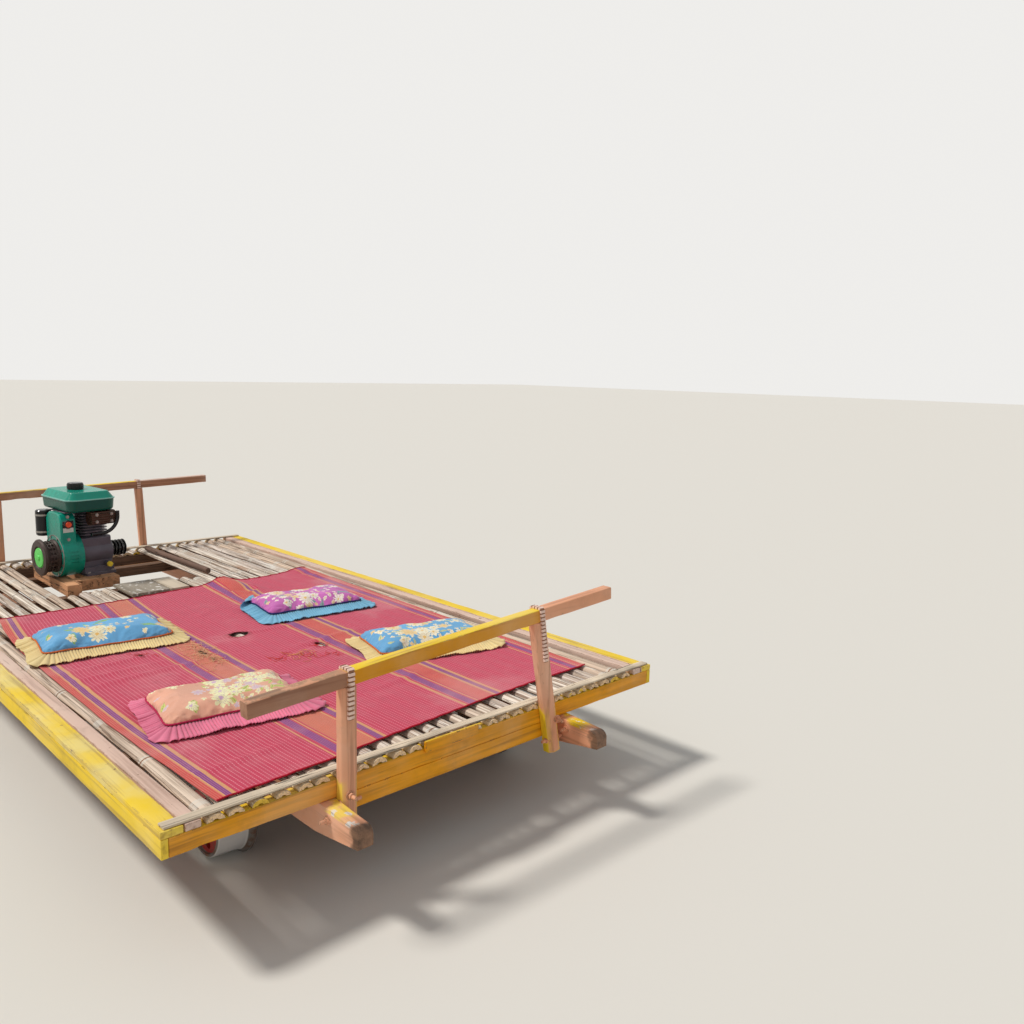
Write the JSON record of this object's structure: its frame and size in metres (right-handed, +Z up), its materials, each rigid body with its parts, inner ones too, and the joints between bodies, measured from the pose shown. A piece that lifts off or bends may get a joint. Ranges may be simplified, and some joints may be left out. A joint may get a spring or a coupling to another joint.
{
  "type": "bamboo train",
  "caption": "Flat rail car with a bamboo deck on two loose wheelsets, a small petrol engine on timber bearers, push rails at both ends, a woven mat and ruffled cushions.",
  "frame": {"origin": "midway between the wheelsets and between the rails, on the plane that the wheel flanges stand on", "axes": "+X forward, towards the passengers' end; +Z up; the nodes called left are on the -Y side, which is on the left for someone who looks at the front end"},
  "size_m": [3.32, 1.7, 0.7872],
  "materials": {
    "beam_paint": "satin",
    "yellow_paint": "satin",
    "frame_timber": "matte",
    "cradle_timber": "matte",
    "bamboo": "satin",
    "grey_timber": "matte",
    "belt_rubber": "matte",
    "wheel_steel": "satin",
    "black_steel": "satin",
    "pulley_iron": "satin",
    "engine_green": "gloss",
    "engine_dark": "matte",
    "engine_black": "satin",
    "muffler_steel": "matte",
    "cap_plastic": "gloss",
    "mat_cloth": "matte",
    "cushion_blue": "matte",
    "cushion_peach": "matte",
    "cushion_magenta": "matte"
  },
  "bodies": {
    "deck": {"beam_left": "beam_paint", "beam_right": "beam_paint", "rail_front": "beam_paint", "rail_rear": "beam_paint", "post_front_left": "beam_paint", "post_front_right": "beam_paint", "post_rear_left": "beam_paint", "post_rear_right": "beam_paint", "end_board_front": "yellow_paint", "end_board_rear": "yellow_paint", "lower_board_front": "yellow_paint", "lower_board_rear": "yellow_paint", "side_board_left": "yellow_paint", "side_board_right": "yellow_paint", "side_planks": "yellow_paint", "cross_bearers": "frame_timber", "saddles_front": "frame_timber", "saddles_rear": "frame_timber", "engine_cradle": "cradle_timber", "culms_left": "bamboo", "culms_right": "bamboo", "culms_front": "bamboo", "culms_rear": "bamboo", "laths": "grey_timber", "cover_board": "grey_timber", "tension_pole": "grey_timber", "straps_front": "belt_rubber", "straps_rear": "belt_rubber", "bearings_front": "black_steel", "bearings_rear": "black_steel", "blower_shroud": "engine_green", "fuel_tank": "engine_green", "crankcase": "engine_dark", "cylinder": "engine_dark", "recoil_starter": "engine_black", "air_cleaner": "engine_black", "hose": "engine_black", "muffler": "muffler_steel", "tank_cap": "cap_plastic", "mat": "mat_cloth", "cushion_blue_left": "cushion_blue", "cushion_blue_right": "cushion_blue", "cushion_peach": "cushion_peach", "cushion_magenta": "cushion_magenta"},
    "front_wheelset": {"axle_front": "black_steel", "wheels_front": "wheel_steel"},
    "rear_wheelset": {"axle_rear": "black_steel", "wheels_rear": "wheel_steel", "axle_pulley": "pulley_iron"},
    "crankshaft": {"engine_pulley": "pulley_iron"}
  },
  "joints": [
    {"name": "front_axle_turn", "type": "hinge", "parent": "deck", "child": "front_wheelset", "pos_m": [1.1, 0, 0.113], "axis": [0, 1, 0], "continuous": true},
    {"name": "rear_axle_turn", "type": "hinge", "parent": "deck", "child": "rear_wheelset", "pos_m": [-1.1, 0, 0.113], "axis": [0, 1, 0], "continuous": true},
    {"name": "crankshaft_turn", "type": "hinge", "parent": "deck", "child": "crankshaft", "pos_m": [-0.925, -0.19, 0.4712], "axis": [-0.1045, 0.9945, 0], "continuous": true}
  ]
}
